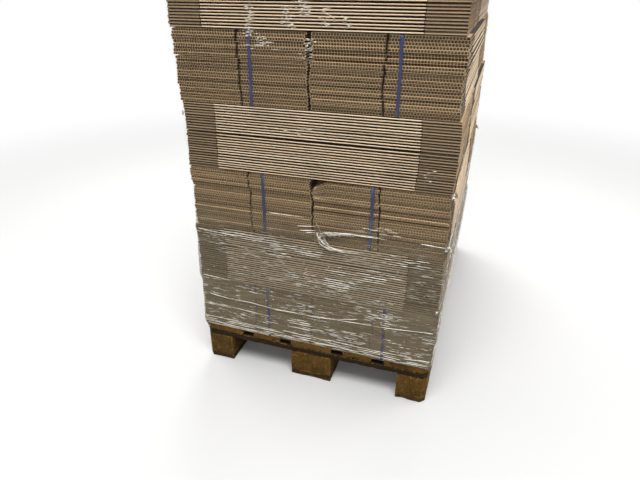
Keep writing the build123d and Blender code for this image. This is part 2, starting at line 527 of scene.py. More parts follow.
# One wave: place across from its middle, depth behind the cut, and 1 at the crest or 0 at the root
FLUTE_POINTS = np.array([
    (-FLUTE_WIDE, 0, 1), (-FLUTE_EDGE, 0, 0), (0, 0, 0), (FLUTE_EDGE, 0, 0), (FLUTE_WIDE, 0, 1),
    (FLUTE_SPREAD, 0, 1), (-FLUTE_SPREAD, 0, 1),
    (-FLUTE_WIDE, FLUTE_DEPTH, 1), (-FLUTE_EDGE, FLUTE_DEPTH, 0),
    (FLUTE_EDGE, FLUTE_DEPTH, 0), (FLUTE_WIDE, FLUTE_DEPTH, 1),
    (-FLUTE_SPREAD, FLUTE_BEND, 1), (0, FLUTE_BEND, 0), (FLUTE_SPREAD, FLUTE_BEND, 1),
])
FLUTE_QUADS = np.array([(0, 1, 2, 6), (2, 3, 4, 5), (0, 7, 8, 1), (3, 9, 10, 4)])
FLUTE_CLOSING = np.array([(11, 12, 13)])


def add_flutes(build, move, side, end, tip, ply, phase):
    """The waved middle ply of a flap's open end. Its crests lie along the outer liner; from there
    each wave runs down to the inner liner and back, closed on its narrow side behind the cut."""
    start = SLOT_WIDTH / 2 + 1
    stop = FLAP_SIDE - FLAP_EDGE_DEPTH
    outer = ply * (BOARD - LINER)
    crest = outer - ply * FLUTE_CREST
    mirrored = side * end * ply < 0
    strip = np.zeros((3, 2, 3))
    strip[..., 0] = side * np.array([start, stop])
    strip[..., 1] = end * np.array([[tip], [tip], [tip - FLUTE_DEPTH]])
    strip[..., 2] = [[outer], [crest], [crest]]
    if mirrored:
        strip = strip[:, ::-1]
    build.grid(move(strip).reshape(strip.shape), "flute")
    waves = start + FLUTE_PITCH * (np.arange((stop - start) // FLUTE_PITCH) + phase % 1)
    waves = waves[(waves > start + FLUTE_SPREAD) & (waves < stop - FLUTE_SPREAD)]
    across, depth, at_crest = FLUTE_POINTS.T
    points = np.zeros((len(waves), len(FLUTE_POINTS), 3))
    points[..., 0] = side * (waves[:, None] + across)
    points[..., 1] = end * (tip - depth)
    points[..., 2] = np.where(at_crest > 0, crest, ply * LINER)
    turn = slice(None, None, -1 if mirrored else 1)
    first = len(FLUTE_POINTS) * np.arange(len(waves))[:, None, None]
    build.add(move(points), (FLUTE_QUADS[:, turn] + first).reshape(-1, 4), "flute")
    build.cover((FLUTE_CLOSING[:, turn] + first).reshape(-1, 3), "flute")


def add_flap_edge(build, move, side, end, out, tip, on_top):
    """The outer edge of a flap, its two plies pressed together by the knife."""
    inset, height = np.array(FLAP_EDGE).T
    rows = np.zeros((2, len(inset), 3))
    rows[..., 0] = side * (out - inset)
    rows[..., 1] = end * np.array([[FLAP_START], [tip]])
    rows[..., 2] = height
    number = np.arange(rows[..., 0].size).reshape(rows.shape[:2])
    cap = number[1]
    if side * end < 0:
        rows = rows[::-1]
        cap = number[0, ::-1]
    build.add(move(rows), cap[None], "flute")
    # The flap edge's chamfers take the crevice finish, painted shade, except the upper ones on the top
    # carton
    bevel = "face" if on_top else "crevice"
    for face, finish in zip(quads(number), (bevel, bevel, "pressed", "crevice", "crevice")):
        build.cover(face[None], finish)


def add_flaps(build, bundle, move, end, phase, fluted, on_top):
    """Both plies of the two flaps at an end of a carton; flutes where the end shows."""
    draw = bundle.draw
    for side in (-1, 1):
        inner = side * SLOT_WIDTH / 2 + draw.normal(0, 0.7)
        out = FLAP_SIDE + draw.normal(0, 0.8)
        near, far = sorted((inner, side * (out - FLAP_EDGE_DEPTH)))
        for ply in (-1, 1):
            base = BOARD * min(ply, 0)
            tip = CARTON_END - abs(draw.normal(0, 0.5))
            length = sorted((end * FLAP_START, end * tip))
            core = sorted((end * FLAP_START, end * (tip - FLUTE_DEPTH)))
            for left, right in bundle.strips(near, far):
                for lower, outer_liner in ((base, ply < 0), (base + BOARD - LINER, ply > 0)):
                    low = (left, length[0], lower)
                    high = (right, length[1], lower + LINER)
                    finish = "face" if on_top and outer_liner and ply > 0 else "cut"
                    # The inner liners' cut ends take the dark inner finish, painted shade
                    ends = "flute" if outer_liner else "inner"
                    # The slot walls take the crevice finish, painted shade
                    build.box(low, high, finish, move, ends, sides="crevice")
                # Behind the cut the middle ply is a near-black box, painted shade in the flutes' hollows
                low = (max(left, near + CORE_RECESS), core[0], base + LINER)
                high = (min(right, far - CORE_RECESS), core[1], base + BOARD - LINER)
                build.box(low, high, "core", move)
            if fluted:
                add_flutes(build, move, side, end, tip, ply, phase + draw.normal(0, 0.03))
        add_flap_edge(build, move, side, end, out, tip, on_top)


def carton_bundle(bundle, finishes):
    """All the cartons of a bundle, as one piece."""
    build = Build(finishes)
    top_of_load = bundle.node.startswith(f"layer_{LAYERS}_")
    for carton in range(CARTONS):
        build.shade = bundle.shade[carton]
        move = bundle.mover(carton)
        on_top = top_of_load and carton == CARTONS - 1
        add_panels(build, bundle, move, on_top)
        for end in (-1, 1):
            phase = 0.5 * carton + bundle.draw.normal(0, 0.06)
            add_flaps(build, bundle, move, end, phase, end in bundle.open_ends, on_top)
    stand_in_for(build.object(f"{bundle.node}_cartons"), "cardboard", bundle.node)


# Straps

STRAP_STAND_OFF = 1.4
STRAP_BEND = 5.0
# A strap's section: places across, in half widths, and how far out
STRAP_SECTION = ((-1, -0.7), (-0.8, 0.0), (0.8, 0.0), (1, -0.7))


def strap_paint():
    """Blue packing strap, embossed with a fine diamond grid and scuffed pale."""
    paint = Paint("blue_strap")
    inputs = {"Vector": paint.place(turn=(0.6, 0.6, 0.8)), "Scale": 700}
    diamonds = paint.node("TexChecker", {}, inputs, output="Fac")
    scuff = paint.noise(60, 4, (1, 1, 0.3)).between(0.5, 0.75)
    tint = paint.mix(scuff * 0.8, colour(42, 50, 90), colour(90, 99, 134))
    relief = paint.bump(diamonds, 0.0002, 0.4)
    return paint.finish(paint.surface(Base_Color=tint, Roughness=0.35, Normal=relief))


def strap_path(along, up):
    """Points and outward angles round a bundle's side view, with its four corners rounded."""
    corners = ((along, up), (-along, up), (-along, -up), (along, -up))
    path = []
    for quarter, (v, w) in enumerate(corners):
        centre = np.array([v, w]) - STRAP_BEND * np.sign([v, w])
        for step in np.linspace(0, math.pi / 2, 5):
            angle = quarter * math.pi / 2 + step
            v_at, w_at = centre + STRAP_BEND * np.array([math.cos(angle), math.sin(angle)])
            path.append((v_at, w_at, angle))
        if quarter % 2:
            for share in np.linspace(0.1, 0.9, 11):
                path.append((v, w * (1 - 2 * share), (quarter + 1) * math.pi / 2))
    return np.array(path)


def strap_loop(node, number, finish):
    """A band pulled tight round a bundle, a little slanted, bedded over the cartons' edges."""
    low, high = node_box(node)
    middle = (low + high) / 2
    size = high - low
    draw = np.random.default_rng(500 + number)
    v, w, angle = strap_path(max(size[:2]) / 2 + STRAP_STAND_OFF, size[2] / 2).T
    sway = draw.normal(0, 0.012) * w + 0.7 * np.sin(w / 37.0 + number)
    wave = 0.3 * np.sin(w / 23.0 + 2 * number)
    rows = []
    for side, depth in STRAP_SECTION:
        across = sway + side * min(size[:2]) / 2
        along = v + np.cos(angle) * (depth + wave)
        height = middle[2] + w + np.sin(angle) * (depth + wave)
        rows.append(laid(size[0] > size[1], middle, across, along, height)[::-1])
    build = Build({"strap": finish})
    build.grid(np.array(rows) * MM, "strap", closed=True)
    stand_in_for(build.object(f"{node}_band"), "strapping", node)


# Timber

SAW_CUT = 20.0  # spacing of the cross-sections that let a board's faces waver
EDGE_WEAR = 1.6
WAVER = 0.45  # how far in the worn faces lie, and how much that varies
RIPPLES = ((18, 0.5), (70, 0.35))  # how fine the waver is, and how strong
CHIP_FINENESS = 32
CHIP_LEAST = 0.12
CHIP_DEPTH = 4.5
SKIN = 0.003  # in metres: points nearer a face than this move with it
EDGE_BAND = 0.006  # and those nearer two faces than this may chip
WORN_BAND = 0.0025  # or look worn
# How pale each kind of board is: the deck boards palest, and the stringers, which lie under the deck,
# painted dark as shade
PALENESS = {"deck_board": 0.85, "stringer_board": 0.0, "block": 0.5, "skid_board": 0.3}
CHIPS_IN_BLOCKS = 0.5  # the blocks are pressed from wood chips, which show as pale flecks
CHIPS_IN_BOARDS = 0.12


def timber_paint():
    """Old sawn softwood: faint rings and grain, dark stains, pale worn edges, knots and cracks."""
    paint = Paint("old_timber")
    grain = paint.attribute("grain", "Vector")
    sway = {"Vector": grain, "Scale": 14.0, "Detail": 4.0}
    wave = paint.node("TexNoise", {}, sway, output="Color")
    shift = paint.node("VectorMath", {"operation": "SCALE"}, {0: wave, "Scale": 0.035})
    bent = paint.node("VectorMath", {"operation": "ADD"}, (grain, shift))
    rings_at = {"Vector": paint.place((0.04, 1, 1), where=bent), "Scale": 42, "Distortion": 2.5}
    settings = {"wave_type": "RINGS", "rings_direction": "X"}
    rings = paint.node("TexWave", settings, rings_at, output="Fac")
    fibre = paint.noise(330, 5, (0.025, 1, 1), where=grain)
    mottle = paint.noise(38, 6, (0.5, 1, 1), where=grain)
    tone = rings * 0.14 + fibre * 0.8 + mottle * 0.8 + paint.attribute("shade") - 0.9
    stain = paint.noise(13, 8).between(0.46, 0.7)
    speck = paint.noise(110, 7, (1, 1, 0.6)).between(0.59, 0.66)
    worn = paint.attribute("edge").between(0.8, 1) * paint.noise(120, 3).between(0.4, 0.6)
    cells = {"Vector": paint.place((0.6, 1, 1), where=bent), "Scale": 8}
    knots = paint.node("TexVoronoi", {}, cells, output="Distance")
    ragged = knots + paint.noise(90, 3, where=grain) * 0.16
    few = paint.noise(9, 1, where=grain).between(0.46, 0.52)
    knot = (1 - ragged.between(0.12, 0.19)) * few
    crack = paint.noise(150, 2, (0.02, 1, 1), where=bent).between(0.64, 0.68)
    tint = paint.mix(tone.clamped(), colour(38, 25, 8), colour(128, 94, 37))
    layers = (
        (stain, 0.6, (36, 24, 10)),
        (speck, paint.attribute("chips"), (166, 134, 68)),
        (worn, 0.35, (160, 130, 74)),
        (knot, 0.85, (36, 22, 10)),
        (crack, 0.85, (22, 15, 8)),
    )
    for place, strength, stuff in layers:
        tint = paint.mix(place * strength, tint, colour(*stuff))
    relief = paint.bump(fibre * 0.5 + mottle * 0.3 + rings * 0.2 - crack * 0.8, 0.0012, 0.9)
    wood = paint.surface(Base_Color=tint, Roughness=0.85, Specular_IOR_Level=0.2, Normal=relief)
    return paint.finish(wood)


def cut_across(work, low, high):
    """Cuts a board's faces by evenly spaced planes along each of its three ways."""
    for axis in range(3):
        length = high[axis] - low[axis]
        cuts = max(2, int(length / (SAW_CUT * MM)))
        normal = Vector((0, 0, 0))
        normal[axis] = 1
        for cut in range(1, cuts):
            place = Vector((0, 0, 0))
            place[axis] = low[axis] + length * cut / cuts
            geometry = list(work.verts) + list(work.edges) + list(work.faces)
            bmesh.ops.bisect_plane(work, geom=geometry, plane_co=place, plane_no=normal)


def wear(work, low, high, seed):
    """Lets a board's faces waver inward, and takes chips out of its edges."""
    middle = (low + high) / 2
    for vertex in work.verts:
        point = vertex.co
        depth = [min(point[axis] - low[axis], high[axis] - point[axis]) for axis in range(3)]
        ripple = sum(noise.noise(point * fineness + seed) * size for fineness, size in RIPPLES)
        at_edge = sum(inside < EDGE_BAND for inside in depth) >= 2
        chip = max(0.0, noise.noise(point * CHIP_FINENESS - seed) - CHIP_LEAST) * CHIP_DEPTH
        moved = [math.copysign(depth[axis] < SKIN, middle[axis] - point[axis]) for axis in range(3)]
        vertex.co = point + Vector(moved) * (WAVER + WAVER * ripple + chip * at_edge) * MM


def sawn_timber(node, number, finish):
    """A board or block with broken edges and slightly wavering, worn faces."""
    low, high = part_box(node)
    draw = np.random.default_rng(800 + number)
    work = bmesh.new()
    work.from_mesh(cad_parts[node].data)
    bmesh.ops.remove_doubles(work, verts=work.verts, dist=1e-5)
    bmesh.ops.dissolve_limit(work, angle_limit=0.02, verts=work.verts, edges=work.edges)
    broken = {"offset": EDGE_WEAR * MM, "segments": 2, "profile": 0.6, "affect": "EDGES"}
    bmesh.ops.bevel(work, geom=list(work.edges), **broken)
    cut_across(work, low, high)
    wear(work, low, high, Vector(draw.uniform(-50, 50, 3)))
    mesh = bpy.data.meshes.new(f"{node}_sawn")
    work.to_mesh(mesh)
    work.free()
    mesh.materials.append(finish)
    mesh.shade_smooth()
    mesh.set_sharp_from_angle(angle=0.7)
    points = np.zeros((len(mesh.vertices), 3), np.float32)
    mesh.vertices.foreach_get("co", points.ravel())
    along = 0 if high[0] - low[0] > high[1] - low[1] + 0.05 else 1
    grain = (points - np.array((low + high) / 2))[:, [along, 1 - along, 2]]
    grain = grain + draw.uniform(-0.02, 0.02, 3) + (draw.uniform(0, 9), 0.03, -0.05)
    inside = np.minimum(points - np.array(low), np.array(high) - points)
    pale = next(value for kind, value in PALENESS.items() if node.startswith(kind))
    shade = pale + draw.normal(0, 0.1)
    chips = CHIPS_IN_BLOCKS if node.startswith("block") else CHIPS_IN_BOARDS
    mark(mesh, "edge", (inside < WORN_BAND).sum(axis=1) >= 2)
    mark(mesh, "shade", np.full(len(points), shade))
    mark(mesh, "chips", np.full(len(points), chips))
    mark(mesh, "grain", grain)
    stand_in_for(linked(f"{node}_sawn", mesh), "pallet_wood", node)


# Stretch film

FILM_OFF_SIDES = 1.5  # the film's clearance over the cartons, at the sides of the load
FILM_OFF_ENDS = 2.3  # and at its front and back
FILM_CORNER = 4.0
FILM_LIP = 60.0
HELD_OUT = 10.0  # how far above and below its middle a carton holds the film out
DEEPEST_DIP = 12.0  # how far in from its usual place at a side the film may lie
FILM_STEP = 6.0  # height of the sleeve's rows where it lies thick
FINE_TOP = 640.0  # where they end
HIGH_STEP = 14.0  # and their height above that
TOP_BEND = 0.6  # how far below the film's top its lip starts
FILM_STRIPS = (99, 91, 99, 91)  # its columns over the front, right, back and left of the load
BELOW_DECK = 6.0  # how far the film reaches down below the deck's top
HUG = 1.8  # how much further in the film lies over flaps than over folds
HUG_ACROSS = (300.0, 330.0)  # where that begins and where it is full, over crosswise cartons
HUG_ALONG = (500.0, 530.0)  # and over lengthwise ones
FIRST_LAYER = 144.0  # how high the lowest layer lies
LAYER_HEIGHT = 198.6
WRAPPED_LOW = 600.0  # below this height the film has several layers
WRAPPED_FADE = 60.0
# How much the film hides at each height, beyond what a single layer does
VEIL_HIGH = 0.03
VEIL_STEPS = ((150.0, 0.52), (330.0, 0.56), (390.0, 0.42), (520.0, 0.36), (590.0, 0.16), (640.0, 0.0))
VEIL_LIP = 0.12
# Places round the load are measured from the front's middle to the right, over these half sides
FRONT_HALF = 404.0
SIDE_HALF = 604.0
FILM_SIDES = np.array([2 * FRONT_HALF, 2 * SIDE_HALF] * 2)
AROUND = 4 * (FRONT_HALF + SIDE_HALF)
# Where bright creases, partly painted glints of the film over the cartons' edges, cluster at the front:
# place across and up, half the patch's width and height, how many creases, and the longest of them
SPARKLES = (
    (-244, 529, 45, 6, 34, 60), (-170, 521, 45, 8, 28, 50), (-92, 510, 45, 8, 24, 40),
    (-12, 498, 40, 8, 34, 44), (-104, 476, 35, 6, 10, 30), (-20, 415, 28, 36, 44, 9),
    (84, 450, 34, 9, 14, 40), (88, 405, 34, 20, 40, 60), (-275, 203, 26, 24, 26, 22),
    (-151, 214, 24, 15, 18, 24), (-32, 221, 38, 18, 44, 46), (-10, 262, 30, 8, 10, 30),
    (-340, 520, 40, 10, 12, 40), (-100, 300, 120, 30, 24, 10), (190, 440, 60, 36, 44, 50),
    (250, 300, 60, 30, 40, 40), (310, 205, 50, 26, 30, 30), (120, 210, 60, 26, 40, 36),
    (300, 520, 60, 12, 20, 50), (210, 610, 60, 12, 12, 40), (-159, 1173, 12, 22, 60, 11),
    (-128, 1113, 14, 14, 34, 11), (-48, 1170, 16, 26, 76, 11), (6, 1108, 12, 14, 34, 11),
    (-7, 1190, 16, 18, 50, 11), (59, 1170, 16, 22, 58, 11), (110, 1160, 12, 16, 32, 11),
    (-161, 1135, 12, 14, 40, 11), (-150, 1250, 24, 26, 50, 11), (20, 1262, 34, 26, 60, 11),
    (330, 790, 24, 20, 14, 12), (-20, 880, 40, 8, 6, 26), (-130, 1100, 30, 8, 8, 30),
    (0, 1085, 22, 12, 14, 16),
)
GLINT_SPREAD = 1.5  # how far the painted glint spreads round such a patch, in its widths
AT_FRONT = -500.0  # film further forward than this gets the painted glint
SPECK = 12.0  # creases up to this length lie anywhere, and longer ones on the edges of cartons
SPECK_WIDTH = (2.4, 4.8)
CREASE_WIDTH = (1.2, 2.4)
CREASE_PITCH = FOLDED + 0.3
# The knot at the front where the wrap's tail is tucked in. Each rope: place, height, lift, thickness
KNOT_UPPER = (
    (36, 578, 2, 8), (50, 580, 5, 13), (64, 581, 7, 16), (82, 583, 7, 14), (106, 585, 5, 10),
    (140, 587, 3, 7), (200, 588, 2, 5), (280, 584, 1, 5),
)
KNOT_LOWER = (
    (16, 577, 2, 12), (22, 565, 5, 18), (30, 552, 7, 22), (42, 541, 7, 20), (56, 533, 5, 15),
    (78, 527, 3, 9), (110, 526, 2, 5), (170, 531, 1, 4),
)
KNOT_RIM = (
    (46, 577, 6, 5), (46, 566, 8, 6), (49, 555, 8, 6), (58, 543, 6, 5), (72, 533, 4, 3),
)
KNOT_TAIL = (
    (13, 612, 2, 2), (22, 608, 4, 2), (17, 601, 4, 3), (28, 597, 3, 3), (24, 588, 4, 4),
    (34, 578, 5, 4),
)
# Each of its ropes, how many cords it has, and how often they wind round it
KNOT_ROPES = ((KNOT_UPPER, 7, 0.8), (KNOT_LOWER, 8, 0.6), (KNOT_RIM, 3, 0.5), (KNOT_TAIL, 2, 0.0))
# Roped edges of the film: start and end round the load, heights on the way, width
ROPED_EDGES = (
    (-382, 160, (280, 271, 272, 266, 266, 266, 271, 290), 3.0), (-140, 404, (262, 268, 276, 290), 2.6),
    (-144, -26, (619, 619), 2.8), (-52, 14, (587, 595), 3.0), (-44, 13, (574, 581), 3.0),
    (-24, 15, (570, 575), 2.8), (-396, -290, (352, 346), 3.2), (-400, -250, (527, 520), 2.2),
    (-392, -150, (238, 236, 230), 2.0), (900, 3900, (146, 150, 143, 152, 146), 5.0),
    (700, 3600, (166, 160, 172, 158, 168), 4.0), (640, 3700, (181, 176, 186, 172, 182), 4.0),
    (330, 1900, (588, 575, 560, 570), 3.5), (1700, 3500, (560, 590, 572, 600), 3.5),
    (420, 2300, (300, 286, 310, 296), 3.0),
)
# The band of roped film at the foot: how many lines, their lowest height, spacing and first place
FOOT_LINES = 5
FOOT_LOW = 151.0
FOOT_SPACING = 7.3
FOOT_START = -344.0
FOOT_SHIFT = 9  # how much further round each line starts
FOOT_END = AROUND - 420.0
# Creases strewn over the sides and back, and specks over the front: how many, and how long
STREWN_CREASES = 560
STREWN_LENGTH = 50
STREWN_SPECKS = 160
SPECK_LENGTH = 8
# Torn edges at the load's upright corners: place round the load, height, length, drop
TATTERS = (
    (404, 745, 12, 8), (404, 587, 16, 14), (404, 372, 12, 10), (-404, 148, 12, 16), (-404, 136, 9, 10),
    (1612, 640, 14, 12), (2420, 520, 12, 8), (-404, 905, 8, 6),
)

# The looks of roped film and of crumpled film: texture, where its ridges are bright, its dark and
# light colours, its relief, and between which values its cover grows, from how much and by how much
ROPED_LOOK = (
    (3, (60, 60, 900)), (0.35, 0.65), (226, 214, 192), (255, 250, 238), (0.0006, 0.6),
    (0.25, 0.5, 0.7, 0.3),
)
CRUMPLED_LOOK = (
    (4, (90, 90, 110), (0.4, 0.7, 0.2)), (0.52, 0.6), (150, 138, 118), (246, 240, 228),
    (0.002, 0.9), (0.52, 0.6, 0.6, 0.35),
)


def film_columns():
    """Direction faced and place along its side of each column of the sleeve, once round."""
    columns = []
    for side, count in enumerate(FILM_STRIPS):
        angle = (side - 1) * math.pi / 2
        columns += [(angle, share) for share in np.linspace(-1, 1, count + 1)]
        columns += [(angle + turn * math.pi / 2, 1.0) for turn in (0.25, 0.5, 0.75)]
    return np.array(columns).T


class Film:
    """The stretched film's surface: a sleeve that follows how far the load reaches at each height."""

    def __init__(self, bundles):
        self.low, self.high = node_box("stretch_film")
        edges = np.concatenate([bundle.reach() for bundle in bundles])
        self.heights = np.arange(self.low[2], self.high[2] + FILM_STEP, FILM_STEP)
        self.sides = []
        for column, sign in ((1, -1), (2, 1), (3, -1), (4, 1)):
            near = np.abs(edges[None, :, 0] - self.heights[:, None]) < HELD_OUT
            out = np.where(near, sign * edges[None, :, column], -1e9).max(axis=1)
            out = np.maximum(out, np.median(out) - DEEPEST_DIP)
            self.sides.append(sign * smoothed(out, 2))

    def point(self, angle, share, z, lift=0.0):
        """A point of the film: which way its side faces, how far along that side, and how high."""
        left, right, front, back = (np.interp(z, self.heights, side) for side in self.sides)
        x_half = (right - left) / 2 + FILM_OFF_SIDES - FILM_CORNER
        y_half = (back - front) / 2 + FILM_OFF_ENDS - FILM_CORNER
        side = np.floor(angle / (math.pi / 2) + 1 + 1e-6).astype(int) % 4
        x_share = np.choose(side, [share, 1.0, -share, -1.0])
        y_share = np.choose(side, [-1.0, share, 1.0, -share])
        radius = FILM_CORNER + lift
        x = (left + right) / 2 + x_share * x_half + radius * np.cos(angle)
        y = (front + back) / 2 + y_share * y_half + radius * np.sin(angle)
        even = np.floor((z - FIRST_LAYER) / LAYER_HEIGHT) % 2 == 0
        lengthwise = even == (y < 0)
        x = x - np.where(lengthwise, np.sign(x) * HUG * smooth(np.abs(y), *HUG_ALONG), 0)
        y = y - np.where(lengthwise, 0, np.sign(y) * HUG * smooth(np.abs(x), *HUG_ACROSS))
        return np.stack(np.broadcast_arrays(x, y, z), -1)

    def place(self, s, z, lift):
        """Points of the film at places round the load, heights and distances off its surface."""
        s = np.mod(np.asarray(s, float) + FRONT_HALF, AROUND)
        starts = np.cumsum(FILM_SIDES) - FILM_SIDES
        side = np.searchsorted(starts, s, side="right") - 1
        share = 2 * (s - starts[side]) / FILM_SIDES[side] - 1
        return self.point((side - 1) * math.pi / 2, np.clip(share, -1, 1), z, lift)


def ripples(round_share, z, draw, count, cycles, lengths):
    """Long low waves that meet themselves round the load: a sum of slanted sines."""
    total = 0.0
    for _ in range(count):
        turns = draw.integers(*cycles)
        length = draw.uniform(*lengths)
        slant = draw.choice((-1, 1))
        wave = turns * slant * round_share + z / length
        total = total + np.sin(math.tau * wave + draw.uniform(*ANY_PHASE))
    return total / math.sqrt(count)


def film_paint():
    """Clear film: see-through, with a grey veil where it lies thick and white creases, partly painted
    glints.
    """
    paint = Paint("clear_film")
    veil = paint.attribute("veil")
    streak = paint.noise(1, 1, (26, 26, 460), (0, 0.01, 0)).between(0.62, 0.67)
    patch = paint.noise(1, 3, (9, 9, 24)).between(0.44, 0.58)
    # White creases: partly real creases where the film lies thick, partly painted glints round the
    # patches at the front
    white = (streak * patch * (veil * 1.6 + paint.attribute("glint"))).clamped()
    cloud = paint.noise(1, 3, (7, 7, 60))
    haze = paint.mix(cloud.between(0.3, 0.7), colour(124, 114, 92), colour(146, 135, 110))
    tint = paint.mix(white, haze, colour(252, 249, 240))
    cover = (veil * (cloud * 0.3 + 0.85) + white * 0.9).clamped()
    wrinkle = paint.noise(1, 4, (22, 22, 260), (0, 0.02, 0))
    relief = paint.bump(wrinkle, 0.0014, 0.8)
    film = paint.surface(Base_Color=tint, Roughness=0.3, Specular_IOR_Level=0.35, Normal=relief)
    return paint.finish_see_through(cover, film)


def loose_paint(name, texture, ridge, dark, light, relief, thick):
    """Film gathered up: glossy, with bright creases, and nearly solid where it lies thick."""
    paint = Paint(name)
    fine = paint.noise(1, *texture)
    tint = paint.mix(fine.between(*ridge), colour(*dark), colour(*light))
    film = paint.surface(Base_Color=tint, Roughness=0.25, Normal=paint.bump(fine, *relief))
    low, high, least, gain = thick
    return paint.finish_see_through((fine.between(low, high) * gain + least).clamped(), film)


def lip_rows(lip, top, wave):
    """Rows of the film's lip, from its outer edge inward over the top of the load."""
    middle = (lip.min(axis=0) + lip.max(axis=0)) / 2
    half = (lip.max(axis=0) - lip.min(axis=0)) / 2
    rows = []
    for step in (0.15, 0.5, 0.8, 1.0):
        inward = FILM_LIP * step * (wave if step > 0.4 else np.ones(len(wave)))
        row = lip + (middle - lip) * inward[:, None] / np.maximum(half, FILM_LIP)
        row[:, 2] = top
        rows.append(row)
    return rows


def film_sleeve(film, finish):
    """The sleeve: rippled all over, ridged where it lies thick, with its lip turned in on top."""
    draw = np.random.default_rng(7)
    top = film.high[2] - TOP_BEND
    low_part = np.arange(film.low[2], FINE_TOP, FILM_STEP)
    high_part = np.arange(FINE_TOP + 4, top - 4, HIGH_STEP)
    z = np.concatenate([low_part, high_part, [top]])[:, None]
    angle, share = film_columns()
    s = np.arange(len(angle)) / len(angle)
    thick = smooth(z, WRAPPED_LOW + WRAPPED_FADE, WRAPPED_LOW - WRAPPED_FADE)
    ridged = 1 - np.abs(ripples(s, z, draw, 7, (3, 18), (26.0, 70.0)))
    rippled = ripples(s, z, draw, 5, (2, 9), (60.0, 240.0))
    lift = 0.9 * ridged * (0.35 + 0.65 * thick) + 0.5 * rippled
    points = film.point(angle, share, z, lift)
    wave = 1 + 0.1 * ripples(s, 0.0, draw, 5, (9, 30), (1.0, 2.0))
    grid = np.array([*points, *lip_rows(film.point(angle, share, top), top + TOP_BEND, wave)])
    x, y, z = np.moveaxis(grid, -1, 0)
    veil = VEIL_HIGH + np.interp(z, *np.transpose(VEIL_STEPS))
    veil *= 0.94 + 0.06 * ripples(s, z, draw, 4, (2, 6), (150.0, 500.0))
    veil[len(points):] = VEIL_LIP
    # A painted glint round each patch of creases at the front
    glint = np.zeros_like(z)
    for across, up, width, height, *_ in SPARKLES:
        away = np.hypot((x - across) / width, (z - up) / height) / GLINT_SPREAD
        glint = np.maximum(glint, smooth(away, 1.2, 0.4) * (y < AT_FRONT))
    build = Build({"film": finish})
    build.grid(grid * MM, "film", closed=True)
    return build.object("film_sleeve", sharp=1.2, veil=np.clip(veil, 0, 1), glint=glint)


def add_strand(build, film, start, end, heights, width, draw, rise):
    """A crease of gathered film: a low ridge that tapers to nothing at both ends."""
    length = abs(end - start)
    share = np.linspace(0, 1, max(6, int(length / 7)))
    z = np.interp(share, np.linspace(0, 1, len(heights)), heights)
    sway = draw.uniform(0.1, 0.7)
    z = z + sway * np.sin(share * length / draw.uniform(25, 60) + draw.uniform(*ANY_PHASE))
    taper = np.minimum(1.0, np.minimum(share, 1 - share) * length / draw.uniform(4, 12))
    swell = taper * (0.75 + 0.25 * np.sin(share * length / draw.uniform(10, 26)))
    place = start + (end - start) * share
    rows = [
        film.place(place, z - side * width / 2 * swell, 0.9 + rise * high * swell)
        for side, high in ((-1, 0.1), (0, 1.0), (1, 0.1))
    ]
    build.grid(np.array(rows) * MM, "gather")


def add_crease(build, film, s, z, longest, draw):
    """One short crease of the film, near level, on the edge of a carton if it is no speck."""
    length = longest * draw.uniform(0.25, 1.0)
    speck = longest <= SPECK
    if not speck:
        deck = film.low[2] + BELOW_DECK
        z = deck + CREASE_PITCH * np.round((z - deck) / CREASE_PITCH) + draw.normal(0, 0.5)
    z = min(z, film.high[2] - FILM_LIP)
    heights = (z, z + draw.normal(0, 0.5))
    width = draw.uniform(*(SPECK_WIDTH if speck else CREASE_WIDTH))
    add_strand(build, film, s - length / 2, s + length / 2, heights, width, draw, 0.8)


def along_path(share, path):
    """Each column of a path's table, at shares of the way along it."""
    knots = np.linspace(0, 1, len(path))
    return [np.interp(share, knots, column) for column in np.transpose(path)]


def add_cord_of_film(build, film, path, thick, draw):
    """Film twisted to a cord: path gives places round the load, heights and lifts."""
    length = np.hypot(*np.diff(path[:, :2], axis=0).T).sum()
    share = np.linspace(0, 1, max(12, int(length / 4)))
    s, z, lift = along_path(share, path)
    for _ in range(5):
        for values in (s, z, lift):
            values[1:-1] = (values[:-2] + 2 * values[1:-1] + values[2:]) / 4
    swell = np.convolve(draw.uniform(0.2, 1.3, len(share) + 4), np.ones(5) / 5, "valid")
    taper = np.minimum(1, np.minimum(share, 1 - share) * 9)
    radius = np.maximum(0.25, thick / 2 * swell * taper)[:, None]
    turns = np.linspace(0, math.tau, 7)[:-1] + share[:, None] * 9
    height = z[:, None] + radius * np.sin(turns)
    proud = lift[:, None] + radius * (1 + np.cos(turns))
    build.grid(film.place(s[:, None], height, proud) * MM, "gather", closed=True)


def add_tatter(build, film, s, z, length, drop, draw):
    """A torn edge of film that stands off a corner of the load in a few ragged, curled points."""
    steps = np.linspace(0, 1, 9)
    rows = []
    for share in np.linspace(-1, 1, 15):
        torn = draw.uniform(0.25, 1.0) * (1 - 0.3 * share * share)
        curl = draw.uniform(1.0, 3.0) * steps * np.sin(5 * steps + 3 * share)
        lift = length * torn * steps + 0.8
        height = z + 8 * share * (1 - 0.45 * steps) - drop * torn * steps**1.5 + curl
        shift = s + 4 * steps * np.sin(7 * share + 4 * steps)
        rows.append(film.place(shift, height, lift))
    build.grid(np.array(rows) * MM, "web")


